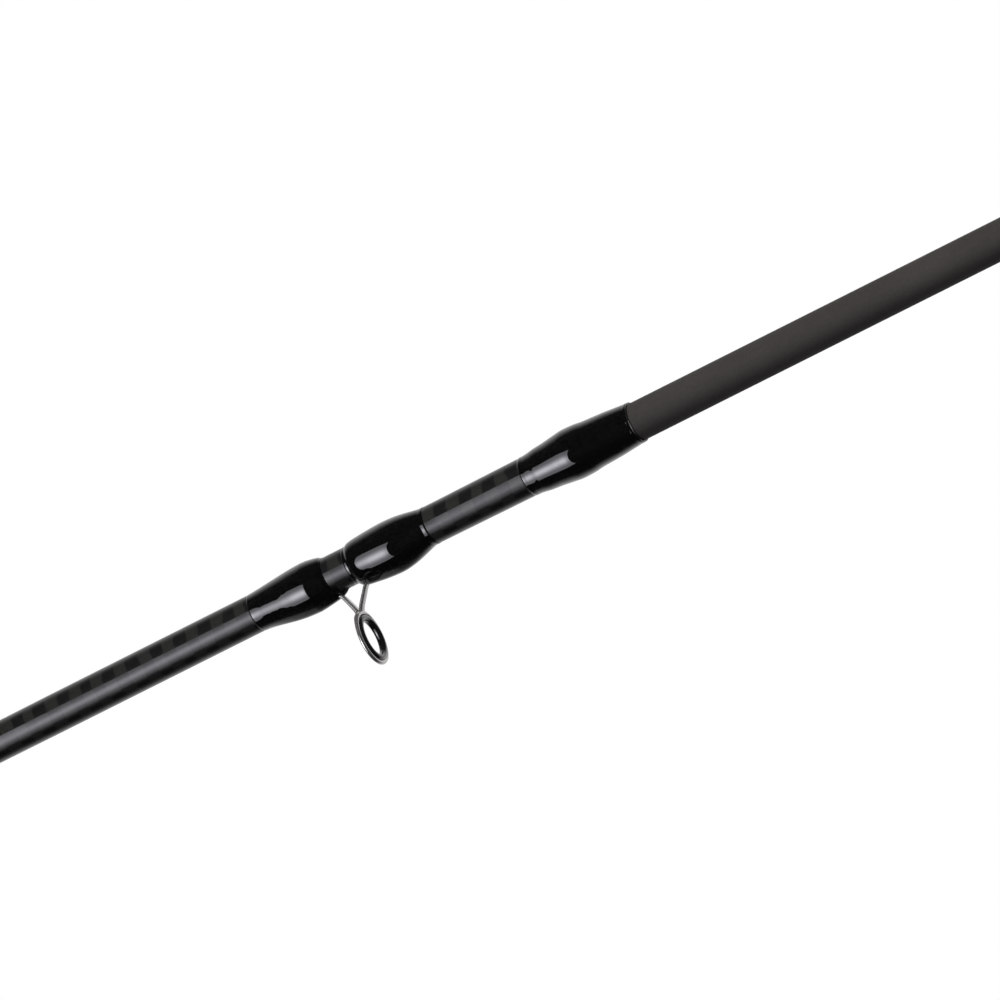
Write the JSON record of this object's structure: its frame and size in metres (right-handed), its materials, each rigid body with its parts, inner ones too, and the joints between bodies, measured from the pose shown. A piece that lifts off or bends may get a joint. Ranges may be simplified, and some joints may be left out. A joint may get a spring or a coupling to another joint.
{
  "type": "spinning rod",
  "caption": "Two-piece carbon spinning rod with a foam grip, screw reel seat, black-wrapped line guides and a sleeve ferrule.",
  "frame": {"origin": "centre of the butt cap's flat end, where the rod stands", "axes": "+Z runs along the rod from the butt to the tip; the guides and the reel hang on the -Y side"},
  "size_m": [0.029, 0.0601, 2.1315],
  "materials": {
    "butt_carbon": "unsanded matte charcoal carbon fibre",
    "tip_carbon": "clear-coated woven carbon fibre",
    "wrap_thread": "black nylon thread",
    "wrap_epoxy": "glossy clear epoxy over black thread",
    "guide_metal": "polished gunmetal",
    "ring_ceramic": "polished black ceramic",
    "trim_aluminium": "satin anodised gunmetal",
    "grip_foam": "fine-pored black EVA foam",
    "cap_rubber": "matte moulded rubber",
    "seat_polymer": "moulded carbon-filled nylon",
    "hood_metal": "brushed dark steel",
    "liner_rubber": "soft grey-black rubber",
    "arbor_foam": "rigid foam"
  },
  "bodies": {
    "butt_section": {"butt_blank": "butt_carbon", "butt_cap": "cap_rubber", "butt_trim_ring": "trim_aluminium", "rear_grip": "grip_foam", "rear_grip_check": "trim_aluminium", "mid_grip_check": "trim_aluminium", "mid_grip": "grip_foam", "reel_seat": "seat_polymer", "seat_arbors": "arbor_foam", "fixed_hood_liner": "liner_rubber", "fore_grip": "grip_foam", "winding_check": "trim_aluminium", "grip_thread": "wrap_thread", "grip_epoxy": "wrap_epoxy", "keeper_wire": "guide_metal", "keeper_thread": "wrap_thread", "keeper_epoxy": "wrap_epoxy", "guide_1_frame": "guide_metal", "guide_1_ring": "ring_ceramic", "guide_1_thread": "wrap_thread", "guide_1_epoxy": "wrap_epoxy", "guide_2_frame": "guide_metal", "guide_2_ring": "ring_ceramic", "guide_2_thread": "wrap_thread", "guide_2_epoxy": "wrap_epoxy"},
    "tip_section": {"tip_blank": "tip_carbon", "ferrule_thread": "wrap_thread", "ferrule_epoxy": "wrap_epoxy", "guide_3_frame": "guide_metal", "guide_3_ring": "ring_ceramic", "guide_3_thread": "wrap_thread", "guide_3_epoxy": "wrap_epoxy", "guide_4_frame": "guide_metal", "guide_4_ring": "ring_ceramic", "guide_4_thread": "wrap_thread", "guide_4_epoxy": "wrap_epoxy", "guide_5_frame": "guide_metal", "guide_5_ring": "ring_ceramic", "guide_5_thread": "wrap_thread", "guide_5_epoxy": "wrap_epoxy", "guide_6_frame": "guide_metal", "guide_6_ring": "ring_ceramic", "guide_6_thread": "wrap_thread", "guide_6_epoxy": "wrap_epoxy", "guide_7_frame": "guide_metal", "guide_7_ring": "ring_ceramic", "guide_7_thread": "wrap_thread", "guide_7_epoxy": "wrap_epoxy", "guide_8_frame": "guide_metal", "guide_8_ring": "ring_ceramic", "guide_8_thread": "wrap_thread", "guide_8_epoxy": "wrap_epoxy", "tip_top_frame": "guide_metal", "tip_top_ring": "ring_ceramic", "tip_top_thread": "wrap_thread", "tip_top_epoxy": "wrap_epoxy"},
    "reel_hood": {"sliding_hood": "hood_metal", "sliding_hood_liner": "liner_rubber"},
    "reel_nut": {"hood_nut": "seat_polymer"}
  },
  "joints": [
    {"name": "ferrule_slide", "type": "slide", "parent": "butt_section", "child": "tip_section", "axis": [0, 0, 1], "range_m": [0, 0.07]},
    {"name": "hood_slide", "type": "slide", "parent": "butt_section", "child": "reel_hood", "axis": [0, 0, -1], "range_m": [0, 0.03]},
    {"name": "nut_turn", "type": "hinge", "parent": "reel_hood", "child": "reel_nut", "pos_m": [0, 0, 0.4114], "axis": [0, 0, -1], "range_deg": [0, 3600]}
  ],
  "couplings": [
    {"joint": "nut_turn", "follows": "hood_slide", "rad_per_m": 2094.4}
  ]
}
